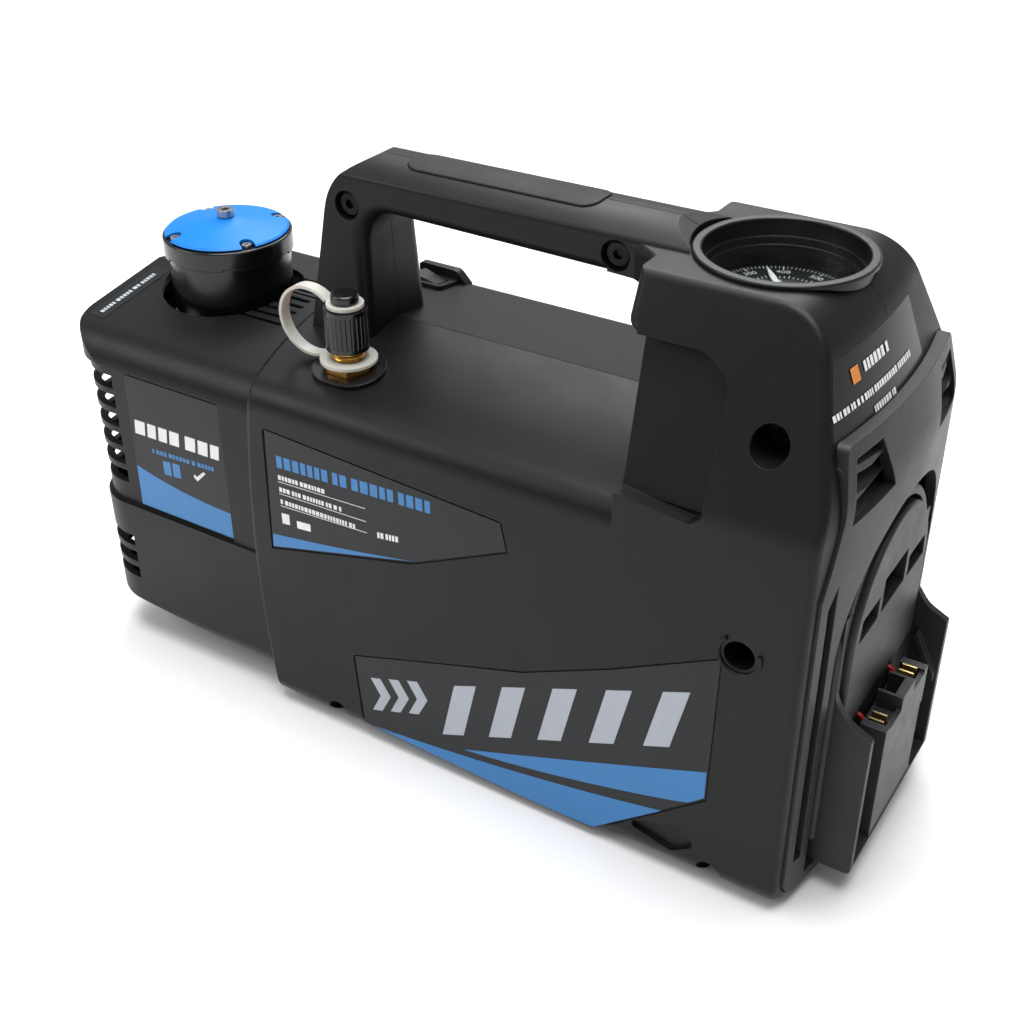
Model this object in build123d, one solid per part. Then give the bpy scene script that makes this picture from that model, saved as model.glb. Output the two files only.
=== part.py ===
from build123d import *
import os
from math import cos, pi, radians, sin, sqrt

# Cordless two-stage vacuum pump for air-conditioning service, in millimetres.
# +X points to the battery end, -Y to the side with the inlet port, +Z up.
# The origin is on the floor, under the middle of the whole pump.

os.makedirs("parts", exist_ok=True)

# ---- driving dimensions ----
FOOT_H = 3.0                 # rubber feet lift the shell off the floor
HALF_W = 60.5                # half the width of the main shell
SHOULDER_Z = 141.6           # where side and roof planes would meet
RIDGE_Z = 151.0              # roof ridge of the main shell
SHOULDER_R = 10.0
BASE_R = 8.0
WALL = 2.8
SEAM_GAP = 0.24              # fine joint line between the two halves
REAR_X = -83.1               # rear rim of the main shell at its most rearward point
REAR_MID_Z = 67.0
REAR_PLAN_R = 163.0          # bow of the rear rim seen from above
REAR_SIDE_R = 494.0          # bow of the rear rim seen from the side
FRONT_X = 153.7              # front face on the centre line
FRONT_PLAN_R = 250.0         # bulge of the front face seen from above
TOP_Z = 207.4                # flat top of the gauge tower
TOP_HALF = 33.0              # half the width of the tower at its top
TAPER_Z = 149.3              # the tower's sides lean in above this height
HANDLE_HALF = 16.0
HANDLE_Z = 212.6             # crown of the handle
GRIP_X = (-32.5, 42.5)
GRIP_HALF = 8.2
GAUGE_X = 104.5
BEZEL_R = 28.4
GAUGE_BORE_R = 27.0
GAUGE_NECK_R = 22.6          # the gauge narrows below its dial
INLET = (-38.5, -36.0)       # place of the inlet port on the roof
SWITCH = (-60.0, 43.5)       # place of the power switch on the far shoulder
CAP_X = -124.5               # axis of the exhaust cap
HOUSING_HALF = 57.0
HOUSING_RIDGE = 147.8
HOUSING_REAR = -162.5
SHAFT_Z = 72.0               # motor and pump axis
SHAFT_R = 5.0
FRAME_HALF = 56.5
FRAME_Z = (5.6, 174.0)
ARCH_HALF = 39.7
ARCH_Z = 96.3
ARCH_X = 151.0
CUP_X = 164.5
FIT = 0.3                    # gap between curved faces of neighbouring bodies

# side screws of the shell: x, z, counterbore radius, where the head rests (y)
SHELL_SCREWS = [(124.9, 171.0, 6.0, -38.0), (126.0, 102.8, 5.2, -48.0),
                (122.2, 7.2, 4.6, -50.0), (-37.3, 7.2, 4.6, -50.0)]
HANDLE_SCREWS = [(-50.8, 197.2), (55.1, 201.4)]


# ---- drawing helpers ----
def outline(points, radii=None):
    """Closed flat outline. radii maps a corner's index to its fillet radius."""
    face = make_face(Polyline(*points, close=True))
    for index, radius in (radii or {}).items():
        corner = face.vertices().sort_by_distance((*points[index], 0))[0]
        face = fillet(corner, radius)
    return face


def along_x(face, x0, x1):
    """Extrude an outline drawn in (y, z) from x0 to x1."""
    plane = Plane(origin=(x0, 0, 0), x_dir=(0, 1, 0), z_dir=(1, 0, 0))
    return extrude(plane * face, x1 - x0)


def along_y(face, y0, y1):
    """Extrude an outline drawn in (x, z) from y0 to y1."""
    plane = Plane(origin=(0, y1, 0), x_dir=(1, 0, 0), z_dir=(0, -1, 0))
    return extrude(plane * face, y1 - y0)


def along_z(face, z0, z1):
    """Extrude an outline drawn in (x, y) from z0 to z1."""
    return extrude(Plane(origin=(0, 0, z0)) * face, z1 - z0)


def block(x, y, z):
    """Box between pairs of coordinates."""
    middle = [(a + b) / 2 for a, b in (x, y, z)]
    return Pos(*middle) * Box(x[1] - x[0], y[1] - y[0], z[1] - z[0])


def disc(x, y, z0, z1, r, inner=0.0):
    """Upright cylinder or ring from z0 to z1."""
    solid = Pos(x, y, (z0 + z1) / 2) * Cylinder(r, z1 - z0)
    if inner:
        solid -= Pos(x, y, (z0 + z1) / 2) * Cylinder(inner, z1 - z0 + 1)
    return solid


def rod_x(x0, x1, y, z, r, inner=0.0):
    """Cylinder or ring along X."""
    place = Pos((x0 + x1) / 2, y, z) * Rot(0, 90, 0)
    solid = place * Cylinder(r, x1 - x0)
    if inner:
        solid -= place * Cylinder(inner, x1 - x0 + 1)
    return solid


def rod_y(x, z, y0, y1, r):
    """Cylinder along Y."""
    return Pos(x, (y0 + y1) / 2, z) * Rot(90, 0, 0) * Cylinder(r, y1 - y0)


def plan(x0, x1, half, r):
    """Rounded rectangle seen from above, centred on y = 0."""
    return Pos((x0 + x1) / 2, 0) * RectangleRounded(x1 - x0, 2 * half, r)


def hexagon(across):
    """Regular hexagon of a given size across its flats."""
    return RegularPolygon(across / 2, 6, major_radius=False)


def joined(solids):
    total = solids[0]
    for solid in solids[1:]:
        total += solid
    return total


def rounded(solid, edges, radius):
    """Fillet as large as the corner takes, down to a third of the radius asked for."""
    for share in (1.0, 0.8, 0.6, 0.45, 0.33):
        try:
            result = fillet(edges, radius * share)
            if result.is_valid and result.volume > 0:
                return result
        except Exception:
            continue
    print("no fillet of", radius)
    return solid


NODES = {}


def node(name, *solids):
    """Keep the solids of one named piece or of one group of identical pieces."""
    NODES[name] = [s for part in solids for s in part.solids()]


# ---- outer form of the main shell ----
def body_section(inset=0.0):
    half, low = HALF_W - inset, FOOT_H + inset
    points = [(-half, low), (half, low), (half, SHOULDER_Z - inset),
              (0, RIDGE_Z - inset), (-half, SHOULDER_Z - inset)]
    base, top = max(BASE_R - inset, 2), max(SHOULDER_R - inset, 3)
    return outline(points, {0: base, 1: base, 2: top, 4: top})


def rear_barrel(shift=0.0):
    """Body of revolution whose outer face gives the bowed rear rim."""
    x0 = REAR_X + shift
    axis_x, reach = x0 + REAR_SIDE_R, HALF_W + 8
    edge_x = x0 + REAR_PLAN_R - sqrt(REAR_PLAN_R**2 - reach**2)
    rim = ThreePointArc((edge_x, reach), (x0, 0), (edge_x, -reach))
    rest = Polyline((edge_x, -reach), (axis_x, -reach), (axis_x, reach), (edge_x, reach))
    face = Pos(0, 0, REAR_MID_Z) * make_face([rim, rest])
    return revolve(face, Axis((axis_x, 0, REAR_MID_Z), (0, 1, 0)), 360)


def front_barrel(inset=0.0, top=TOP_Z):
    """Body of revolution whose outer face gives the bulging front and its roll into the top."""
    axis_x, x1 = FRONT_X - FRONT_PLAN_R, FRONT_X - inset
    points = [(axis_x, 0), (x1, 0), (x1, 155), (133.1 - inset, top - inset), (axis_x, top - inset)]
    face = outline(points, {2: 40, 3: 20})
    plane = Plane(origin=(0, 0, 0), x_dir=(1, 0, 0), z_dir=(0, -1, 0))
    return revolve(plane * face, Axis((axis_x, 0, 0), (0, 0, 1)), 360)


def tower_section(inset=0.0):
    half, top = HALF_W - inset, TOP_HALF - inset
    points = [(-half, FOOT_H + inset), (half, FOOT_H + inset), (half, TAPER_Z),
              (top, TOP_Z), (-top, TOP_Z), (-half, TAPER_Z)]
    base = max(BASE_R - inset, 2)
    return outline(points, {0: base, 1: base, 2: 24, 5: 24})


def tower_side(inset=0.0):
    """Side view of the gauge head and of the leg that carries it."""
    points = [(72 + inset, 220), (72 + inset, 190.3), (76.5 + inset, 189.2), (80.5 + inset, 150),
              (80.5 + inset, -10), (170, -10), (170, 220)]
    return outline(points, {1: 4.0 if not inset else 1.0})


def handle_section(lower=0.0):
    """Cross-section of handle and rear leg, with the crowned top."""
    crown = ThreePointArc((HANDLE_HALF, 208 - lower), (0, HANDLE_Z - lower),
                          (-HANDLE_HALF, 208 - lower))
    sides = Polyline((-HANDLE_HALF, 208 - lower), (-16.2, 195), (-19.5, 140), (19.5, 140),
                     (16.2, 195), (HANDLE_HALF, 208 - lower))
    return make_face([crown, sides])


def handle_form():
    points = [(-70.4, 138), (-57.6, 214), (66, 214), (82, 207.8), (82, 194.2), (63, 194.4),
              (-44.8, 196.4), (-42.6, 138)]
    bow = along_y(outline(points, {1: 24, 6: 11}), -24, 24)
    bow = bow & along_x(handle_section(), -80, 90)
    inner = [e for e in bow.edges() if is_inner_edge(e)]
    bow = rounded(bow, inner, 5)
    crease = [e for e in bow.edges() if e.center().Z > 206.5 and e.length > 60
              and abs(e.center().Y) > 10]
    return rounded(bow, crease, 2)


def is_inner_edge(edge):
    """Edges round the hand opening: underside of the bar and front of the rear leg."""
    c = edge.center()
    under = 193 < c.Z < 197.2 and edge.length > 60
    leg = -47 < c.X < -40 and 150 < c.Z < 190 and edge.length > 30
    bend = -46 < c.X < -34 and 188 < c.Z < 196.4 and 5 < edge.length < 30
    return (under or leg or bend) and abs(c.Y) > 10


def shell_form():
    """Outer form of the two main halves together, before it is hollowed."""
    body = along_x(body_section(), -90, 130) & rear_barrel()
    rim = [e for e in body.edges() if e.center().X < -60 and e.length > 20]
    body = rounded(body, rim, 2.2)
    tower = along_y(tower_side(), -70, 70) & along_x(tower_section(), 60, 170) & front_barrel()
    corner = [e for e in tower.edges() if is_tower_corner(e)]
    tower = rounded(tower, corner, 5.0)
    form = body + tower + fairing() + handle_form()
    return form - disc(GAUGE_X, 0, TOP_Z, 220, BEZEL_R + 0.5)


def fairing():
    """Flare that carries the sides of the handle out to the full width of the tower's top."""
    rear, front, narrow, wide = 52, 82, HANDLE_HALF - 0.2, TOP_HALF - 0.6
    half = [(front, wide), (73, wide), (70.5, 22), (62, narrow + 0.8), (rear, narrow)]
    shape = outline([(x, -y) for x, y in half] + half[::-1], {1: 5, 2: 7, 7: 7, 8: 5})
    solid = along_z(shape, 195.5, TOP_Z - 0.05)
    top = [e for e in solid.edges() if e.center().Z > 207 and e.center().X < 74]
    return rounded(solid, top, 2.5)


def is_tower_corner(edge):
    """Edges from the top crease of the tower down its curved front corners."""
    c, size = edge.center(), edge.bounding_box().size
    crease = c.Z > TOP_Z - 0.1 and size.X > 30 and abs(c.Y) > 30
    rear = c.X < 73 and abs(c.Y) > 30 and size.Z > 8
    corner = c.X > 118 and abs(c.Y) > 30 and c.Z > 21 and size.Z > 0.2 and size.X < 12
    return crease or corner or rear


def switch_guard():
    """Raised lip on the +Y shoulder, outboard of the power switch."""
    x, y = SWITCH
    bank = outline([(x - 13, 140), (x - 10, 148.6), (x + 8, 148.2), (x + 13, 143), (x + 13, 140)],
                   {1: 3, 2: 4})
    return along_y(bank, y + 7.2, y + 11.0) & along_x(body_section(-5.0), -70, -30)


def shell_rooms():
    """Rooms inside the main shell: body, tower and a tunnel through the handle."""
    body = along_x(body_section(WALL), -95, FRONT_X - 12)
    head = along_y(tower_side(WALL + 5), -70, 70) & along_x(tower_section(9.0), 80, 170)
    head = head & front_barrel(WALL + 0.4, TOP_Z - 1)
    bar = block((-54, 84), (-9, 9), (199, 205.2))
    leg = along_y(outline([(-62, 138), (-57, 205.6), (-50, 205.6), (-52, 138)]), -9, 9)
    return [body, head, bar, leg]


def side_pocket():
    """Recess in both sides of the front leg, open to the rear."""
    points = [(74, 190.3), (99, 190.3), (108.5, 184), (110.2, 147), (106, 143.6), (74, 147.3)]
    zone = along_y(outline(points, {1: 8, 2: 7, 3: 3, 4: 3}), -70, 70)
    core = along_x(outline([(-55, 0), (55, 0), (55, 145.5), (27.3, 205), (-27.3, 205),
                            (-55, 145.5)]), 50, 120)
    return zone - core


SPEC_PANEL = [(-60.5, 127.6), (40.2, 121.9), (42.8, 110.6), (3.0, 91.6), (-62.2, 75.2)]
BRAND_PANEL = [(-27.2, 39.4), (48, 63.5), (82, 79.5), (121.0, 100.0), (119.8, 39.3),
               (76.9, 3.4), (-24.6, 6.8)]


def panel_recesses():
    """Shallow seats for the label plates, and the scoop beside them, on the -Y side."""
    seats = [along_y(outline(SPEC_PANEL, {0: 2, 1: 2}), -70, 0.6 - HALF_W)]
    seats.append(along_y(outline(BRAND_PANEL, {0: 2}), -70, 0.6 - HALF_W))
    scoop = outline([(88, 15), (112, 24), (117, 16), (108, 10)], {0: 2, 1: 3, 2: 3, 3: 2})
    seats.append(along_y(scoop, -70, 1.8 - HALF_W))
    return joined(seats)


def screw_bores(side):
    """Counterbores in the -Y half, pilot holes and nut seats in the +Y half."""
    bores = []
    for x, z, r, head_y in SHELL_SCREWS:
        bores += [rod_y(x, z, -70, head_y, r), rod_y(x, z, head_y - 1, 32, 2.1)]
    for x, z in HANDLE_SCREWS:
        bores += [rod_y(x, z, -24, 4 - HANDLE_HALF, 5.2), rod_y(x, z, -20, 12, 2.1)]
        bores.append(along_y(Pos(x, z) * hexagon(7.2), HANDLE_HALF - 4, 24))
    y_range = (-100, 0) if side < 0 else (0, 100)
    return joined(bores) & block((-200, 200), y_range, (-5, 240))


def shell_bosses():
    """Posts inside the shell round each joining screw."""
    bosses = [rod_y(x, z, -62, 36, r + 2.2) for x, z, r, _ in SHELL_SCREWS[:2]]
    return joined(bosses) & front_barrel(1.0)


def base_rails():
    """Solid rails along the floor that carry the feet, the bracket and the lower screws."""
    rails = [block((-62, 128), (s * 42 - 14, s * 42 + 14), (FOOT_H + 1, 15)) for s in (-1, 1)]
    return joined(rails) & along_x(body_section(0.5), -71, 140)


def frame_outline(grow=0.0):
    """Outline of the louvred front frame: it steps in a little above the battery arch."""
    h, (low, high) = FRAME_HALF + grow, (FRAME_Z[0] - grow, FRAME_Z[1] + grow)
    points = [(-h, low), (h, low), (h, 128), (h - 3.5, 140), (h - 11.7, high), (11.7 - h, high),
              (3.5 - h, 140), (-h, 128)]
    return outline(points, {0: 7, 1: 7, 4: 3, 5: 3})


def shell_half():
    """The -Y half of the main shell, with the features that both halves share."""
    space = block((-200, 200), (-100, -SEAM_GAP / 2), (-5, 240))
    form = shell_form() & space
    half = form
    for room in shell_rooms():
        half -= room & space
    half += (shell_bosses() + base_rails()) & form
    half -= side_pocket() & space
    half -= panel_recesses()
    half -= along_x(frame_outline(FIT), 133.6, 170) & space
    half -= disc(GAUGE_X, 0, 187, 215, GAUGE_BORE_R) + disc(GAUGE_X, 0, 160, 188, GAUGE_NECK_R)
    return half - grip_cut(0.15)


def grip_cut(grow):
    """Seat of the soft pad on top of the handle."""
    top = along_z(plan(GRIP_X[0] - grow, GRIP_X[1] + grow, GRIP_HALF + grow, 6), 200, 220)
    return top - along_x(handle_section(2.0 + grow), -80, 90)


def make_main_shell():
    half = shell_half()
    right = half - screw_bores(-1)
    right -= along_z(Pos(*INLET) * RectangleRounded(25.2, 20.6, 9.9), 130, 160)
    node("main_shell_right", right)
    left = mirror(half, Plane.XZ) + switch_guard() - screw_bores(1)
    left -= along_z(Pos(*SWITCH) * RectangleRounded(17.0, 12.4, 2), 125, 160)
    node("main_shell_left", left)


def make_grip_pad():
    pad = grip_cut(0.0) & along_x(handle_section(-0.6), -80, 90)
    edge = [e for e in pad.edges() if e.center().Z > 210]
    node("grip_pad", rounded(pad, edge, 0.5))


# ---- rear housing ----
def housing_section(inset=0.0):
    half, low = HOUSING_HALF - inset, 11.0 + inset
    points = [(-half, low), (half, low), (half, 138.6 - inset), (0, HOUSING_RIDGE - inset),
              (-half, 138.6 - inset)]
    top = max(13 - inset, 3)
    return outline(points, {0: 8, 1: 8, 2: top, 4: top})


def housing_form(inset=0.0):
    end = plan(HOUSING_REAR + inset - 2, 40, HOUSING_HALF - inset, 20 - inset)
    form = along_x(housing_section(inset), -170, -50) & along_z(end, -5, 160)
    under = along_y(outline([(-175, -5), (-175, 21.5 + inset), (-160, 20 + inset), (-60, 9.5 + inset),
                             (-40, -5)]), -70, 70)
    return form - under


def housing_band():
    """The side band between the two ledges stands back from the cap and the base."""
    ring = block((-180, -60), (-70, 70), (66.5, 128.5))
    keep = along_z(plan(HOUSING_REAR, 60, HOUSING_HALF - 1.8, 18), 60, 135)
    return ring - keep


def louvre_slots():
    """Slots that wrap round both rear corners."""
    slots = []
    for i in range(6):
        z = 121.0 - 8.45 * i
        slots.append(block((-175, -141), (36, 62), (z - 2.9, z + 2.9)))
    for i in range(3):
        z = 48.5 - 8.0 * i
        slots.append(block((-175, -142), (36, 62), (z - 2.6, z + 2.6)))
    left = joined(slots)
    return left + mirror(left, Plane.XZ)


def roof_slots():
    """Fine vents in the roof between the cap and the main shell."""
    y = [-18.9 + 4.2 * i for i in range(10)]
    return joined([block((-106, -84), (v - 0.9, v + 0.9), (138, 155)) for v in y])


def make_rear_housing():
    outer = housing_form() - rear_barrel(-FIT)
    outer = outer - housing_band()
    inner = housing_form(WALL) - block((-180, -50), (-70, 70), (63.7, 131.3))
    waist = housing_form(WALL + 1.8) & block((-180, -50), (-70, 70), (63.6, 131.4))
    housing = outer - inner
    housing = housing - waist
    housing -= disc(CAP_X, 0, 130, 160, 28.0)
    housing -= louvre_slots()
    housing -= roof_slots()
    housing -= rod_x(-175, -150, 0, 56, 12.3)
    housing -= rod_x(-175, -150, 0, 32, 9.5)
    node("rear_housing", housing + housing_tongue())


def housing_tongue():
    """Tongue on the open end that slides inside the rim of the main shell."""
    ring = along_x(housing_section(0.9), -86, -64) - along_x(housing_section(3.2), -95, -60)
    return ring - block((-100, -60), (25, 60), (128, 160))


# ---- exhaust cap ----
def make_exhaust_cap():
    x = CAP_X
    skirt = disc(x, 0, 139.5, 161, 23.6, 19.6) + disc(x, 0, 158, 161, 23.6)
    head = disc(x, 0, 160.5, 168, 25.0)
    body = skirt + head
    edge = [e for e in body.edges() if abs(e.center().Z - 168) < 0.1 and e.length > 100]
    body = rounded(body, edge, 0.8)
    body -= disc(x, 0, 161.5, 169, 18.0)
    body += disc(x, 0, 158.5, 170.6, 3.4)
    for a in range(6):
        angle = radians(60 * a + 12)
        body -= Pos(x + 24.6 * cos(angle), 24.6 * sin(angle), 160.6) * Rot(0, 0, 60 * a + 12) \
            * Box(2.0, 5.0, 1.6)
    body -= disc(x, 0, 163, 172, 1.6)
    screws = [(x + 20.9 * cos(radians(a)), 20.9 * sin(radians(a))) for a in LID_ANGLES]
    for sx, sy in screws:
        body -= disc(sx, sy, 164, 170, 1.3)
    node("exhaust_cap_body", body)
    node("exhaust_cap_lid", exhaust_lid())
    small = [small_screw(sx, sy, 168.1) for sx, sy in screws]
    node("exhaust_cap_screws", lid_screw(x, 174.2), *small)
    node("exhaust_cap_filter", disc(x, 0, 150, 158, 18.6, 4.0))
    node("exhaust_cap_seal", disc(x, 0, 136.6, 139.3, 22.6, 20.2))


LID_ANGLES = (-118, -28, 62, 152)


def exhaust_lid():
    """Shallow dished cone with a small U-notch over each rim screw."""
    x = CAP_X
    rim = [(0, 173.9), (8, 172.2), (23.2, 169.3), (24.0, 168.6), (23.2, 168.2), (8, 170.9),
           (0, 172.6)]
    plane = Plane(origin=(x, 0, 0), x_dir=(1, 0, 0), z_dir=(0, -1, 0))
    lid = revolve(plane * outline(rim), Axis((x, 0, 0), (0, 0, 1)), 360)
    lid -= disc(x, 0, 160, 180, 1.7)
    for a in LID_ANGLES:
        u = Pos(x, 0) * Rot(0, 0, a) * Pos(23.9, 0) * SlotOverall(11, 5.4)
        lid -= along_z(u, 160, 180)
    return lid


def lid_screw(x, z):
    screw = disc(x, 0, z - 0.6, z + 2.2, 3.3) + disc(x, 0, z - 9, z, 1.5)
    return screw - along_z(Pos(x, 0) * hexagon(3.0), z + 0.6, z + 3)


def small_screw(x, y, z):
    screw = disc(x, y, z, z + 1.1, 1.9) + disc(x, y, z - 3.8, z + 0.2, 1.2)
    return screw - along_z(Pos(x, y) * hexagon(1.5), z + 0.4, z + 2)


# ---- inlet port ----
THREAD_R = 5.55              # 7/16 inch thread of a 1/4 inch flare port
CAP_R = 7.7
INLET_Z = 145.46             # just clear of the roof at the port


def make_inlet():
    x, y = INLET
    stem = disc(x, y, 128, 143.5, 7.0) + along_z(Pos(x, y) * hexagon(15.0), 142.0, 149.4)
    stem += disc(x, y, 149, 161.4, THREAD_R) + Pos(x, y, 163.1) * Cone(THREAD_R, 3.4, 3.6)
    stem -= disc(x, y, 120, 170, 2.4)
    node("inlet_fitting", stem)
    tilt = Pos(x, y, INLET_Z) * Rot(8.8, 0, 0)
    lip = tilt * extrude(RectangleRounded(27.5, 22.5, 11), 1.7)
    waist = tilt * Pos(0, 0, -3.6) * extrude(RectangleRounded(24.0, 19.0, 9.3), 3.8)
    grommet = (lip + waist) - disc(x, y, 120, 142.1, 7.3)
    grommet -= along_z(Pos(x, y) * hexagon(15.4), 141.9, 160)
    node("inlet_grommet", grommet)
    cap = disc(x, y, 154.6, 169.8, CAP_R) - disc(x, y, 150, 166.3, THREAD_R + 0.06)
    cap -= Pos(x, y, 155.5) * Cone(6.6, THREAD_R, 2.6)
    for i in range(28):
        a = 2 * pi * i / 28
        cap -= disc(x + (CAP_R + 0.15) * cos(a), y + (CAP_R + 0.15) * sin(a), 156.2, 168.2, 0.42)
    cap += disc(x, y, 169.7, 172.2, 3.7) + disc(x, y, 172.0, 174.9, 4.9)
    top = [e for e in cap.edges() if e.center().Z > 174.8]
    node("inlet_cap", rounded(cap, top, 0.9))
    node("inlet_cap_seal", disc(x, y, 165.0, 166.2, 5.2, 1.5))
    node("cap_tether_ring", disc(x, y, 170.2, 171.5, 6.6, 4.0))
    node("cap_tether", tether())


def tether():
    """Flexible strap: a base ring round the port and a loop up to the ring under the knob."""
    x, y = INLET
    base = disc(x, y, 149.6, 150.8, 10.2, THREAD_R + 0.25)
    start, end = (x - 9.4, y, 150.2), (x - 7.15, y, 170.85)
    path = ThreePointArc(start, (x - 28, y + 0.01, 161.5), end)
    section = Plane(origin=start, x_dir=(0, 1, 0), z_dir=path % 0) * Rectangle(4.4, 1.2)
    return base + sweep(section, path)


# ---- power switch ----
def make_switch():
    x, y = SWITCH
    lean = Pos(x, y, roof_height(y) + 0.05) * Rot(-8.8, 0, 0)
    flange = lean * extrude(RectangleRounded(19, 13.6, 2), 1.6)
    well = lean * Pos(0, 0, -12) * extrude(RectangleRounded(15.8, 10.8, 1.5), 12.2)
    housing = (flange + well) - lean * Pos(0, 0, -8.5) * extrude(RectangleRounded(14.2, 8.8, 0.8), 14)
    node("switch_housing", housing - lean * along_y(Circle(1.36), -4.95, 4.95))
    face = outline([(-5, -4.5), (5, -4.5), (6.4, 1.4), (0, 2.6), (-6.2, 4.4)], {3: 14, 2: 1, 4: 1})
    pivot = lean * along_y(Circle(1.3), -4.8, 4.8)
    node("switch_rocker", lean * along_y(face, -4.1, 4.1) + pivot)


def roof_height(y):
    return RIDGE_Z - (RIDGE_Z - SHOULDER_Z) * abs(y) / HALF_W


# ---- gauge ----
def make_gauge():
    x = GAUGE_X
    bezel = disc(x, 0, TOP_Z + 0.05, 208.9, BEZEL_R, 25.2) + disc(x, 0, 198.4, 208, 26.85, 25.2)
    bezel += disc(x, 0, 199.2, 203.0, 26.85, 24.4) + disc(x, 0, 198.4, 200.4, 26.85, 24.0)
    top = [e for e in bezel.edges() if abs(e.center().Z - 208.9) < 0.05]
    node("gauge_bezel", rounded(bezel, top, 0.7))
    case = disc(x, 0, 187.4, 198.2, 26.4, 24.9) + disc(x, 0, 187.4, 189.4, 26.4, 20.4)
    case += disc(x, 0, 176, 188, 22.0, 20.4) + disc(x, 0, 175, 177.2, 22.0) + disc(x, 0, 166, 176, 6.0)
    node("gauge_case", case)
    node("gauge_movement", disc(x, 0, 177.4, 191.5, 14.0) + disc(x, 0, 191, 191.9, 23.0))
    dial = disc(x, 0, 192.0, 193.2, 24.6) - disc(x, 0, 180, 200, 1.2)
    node("gauge_dial", dial)
    node("gauge_lens", disc(x, 0, 197.0, 198.3, 24.7))
    node("gauge_needle", needle())


NEEDLE_ANGLE = 128.0


def needle():
    """Pointer with a round hub, lying over the dial at rest."""
    hub = Cylinder(4.2, 1.2) + Pos(0, 0, -1.3) * Cylinder(0.9, 1.6)
    arrow = extrude(outline([(-9, -1.1), (12, -0.9), (19.5, 0), (12, 0.9), (-9, 1.1)]), 0.7)
    tail = extrude(Pos(-8.5, 0) * Circle(2.2), 0.7)
    return Pos(GAUGE_X, 0, 194.9) * Rot(0, 0, NEEDLE_ANGLE) * (hub + Pos(0, 0, -0.35) * (arrow + tail))


# ---- battery end ----
def make_front_frame():
    band = front_barrel(-1.0, 240) - front_barrel(2.6, 236)
    frame = band & along_x(frame_outline(), 134, 170)
    lip = along_x(frame_outline(), 134, 170) - along_x(frame_outline(-2.6), 120, 175)
    frame += lip & front_barrel(-1.0, 240)
    frame -= along_x(arch_outline(5.2, 9.6), 120, 170)
    for side in (-1, 1):
        window = [(side * 20, 152), (side * 46, 150), (side * 41.4, 169.6), (side * 26, 169.6)]
        frame -= along_x(outline(window), 120, 170)
        frame -= along_x(outline([(side * 48.5, 20), (side * 52.8, 20), (side * 52.8, 124),
                                  (side * 48.5, 131)]), 140, 170)
    frame += joined(louvre_blades())
    rails = [block((133.9, 136.8), (-54.5, 54.5), (z - 5, z + 5)) for z in (24, 118)]
    node("front_frame", frame + joined(rails))


def louvre_blades():
    """Slanted blades across both upper windows of the front frame."""
    blades = []
    for side in (-1, 1):
        for z in (151.5, 158.5, 165.5):
            blade = Rot(0, 28, 0) * block((-9, 3), sorted((side * 18, side * 47)), (-0.9, 0.9))
            blades.append((Pos(147, 0, z) * blade) & front_barrel(0.4, 240))
    return blades


def arch_outline(grow=0.0, low=9.0):
    """Half round over straight sides, as the battery mount looks from the front."""
    h = ARCH_HALF + grow
    sides = Polyline((h, ARCH_Z), (h, low), (-h, low), (-h, ARCH_Z))
    return make_face([sides, ThreePointArc((-h, ARCH_Z), (0, ARCH_Z + h), (h, ARCH_Z))])


def make_battery_mount():
    side = outline([(141.2, 112), (151.0, 112), (151.0, 80.5), (156.6, 73), (164.5, 69),
                    (164.5, 10.2), (146, 10.2), (141.2, 20)], {2: 8, 3: 10, 4: 1, 5: 2, 6: 6, 7: 5})
    cup = along_y(side, -38.8, 38.8)
    hollow = block((152.2, 170), (-36.2, 36.2), (12.8, 120))
    plate = along_x(arch_outline(0, 20), 137, ARCH_X)
    front = [e for e in plate.edges() if abs(e.center().X - ARCH_X) < 0.1 and e.center().Z > 21]
    plate = rounded(plate, front, 2.0)
    mount = (plate + cup) - hollow
    mount -= along_x(arch_outline(-3.6, 60), 146.6, 152.3) & block((140, 160), (-60, 60), (62, 140))
    mount -= block((130, 160), (-32.5, 32.5), (95, 113))
    mount -= joined([rod_x(130, 155, y, LEAD_Z, 1.6) for y in (-14.8, 14.8)])
    for side_y in (-1, 1):
        rib = outline([(154, 60), (163.6, 43), (163.6, 46), (155.5, 62)])
        mount += along_y(rib, *sorted((side_y * 36.4, side_y * 33.8)))
    node("battery_mount", mount)


def make_slide_plate():
    plate = along_x(arch_outline(-5.2, 62.5), 146.7, 153.2)
    front = [e for e in plate.edges() if abs(e.center().X - 153.2) < 0.1]
    plate = rounded(plate, front, 1.4)
    plate -= block((140, 160), (-10.8, 10.8), (98.2, 111.4))
    for s in (-1, 1):
        hole = outline([(s * 13.6, 98.0), (s * 30.4, 98.0), (s * 29.0, 106.4), (s * 13.6, 106.4)])
        plate -= along_x(hole, 140, 160)
    node("battery_slide_plate", plate)


def make_terminal_block():
    base = block((153.0, 164.2), (-20.8, 20.8), (12.9, 52.0))
    walls = [block((155.2, 164.2), y, (51.5, z)) for y, z in
             (((-20.8, -17.6), 60.0), ((-12.0, -6.2), 57.0), ((-6.0, 6.0), 64.0),
              ((6.2, 12.0), 57.0), ((17.6, 20.8), 60.0))]
    front = block((162.4, 164.2), (-20.8, 20.8), (51.5, 58.6))
    terminals = joined([base, front] + walls)
    terminals -= block((160, 170), (19.0, 22), (14, 44))
    for y in (-14.8, 14.8):
        terminals -= block((156.0, 162.2), (y - 2.6, y + 2.6), (46, 70))
    terminals -= block((150, 161.0), (-5.0, 5.0), (54, 70))
    node("terminal_block", terminals)
    clips = [contact_clip(y) for y in (-14.8, 14.8)]
    node("battery_contacts", *clips, disc(158.0, 0, 54.0, 59.0, 0.7))


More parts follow.
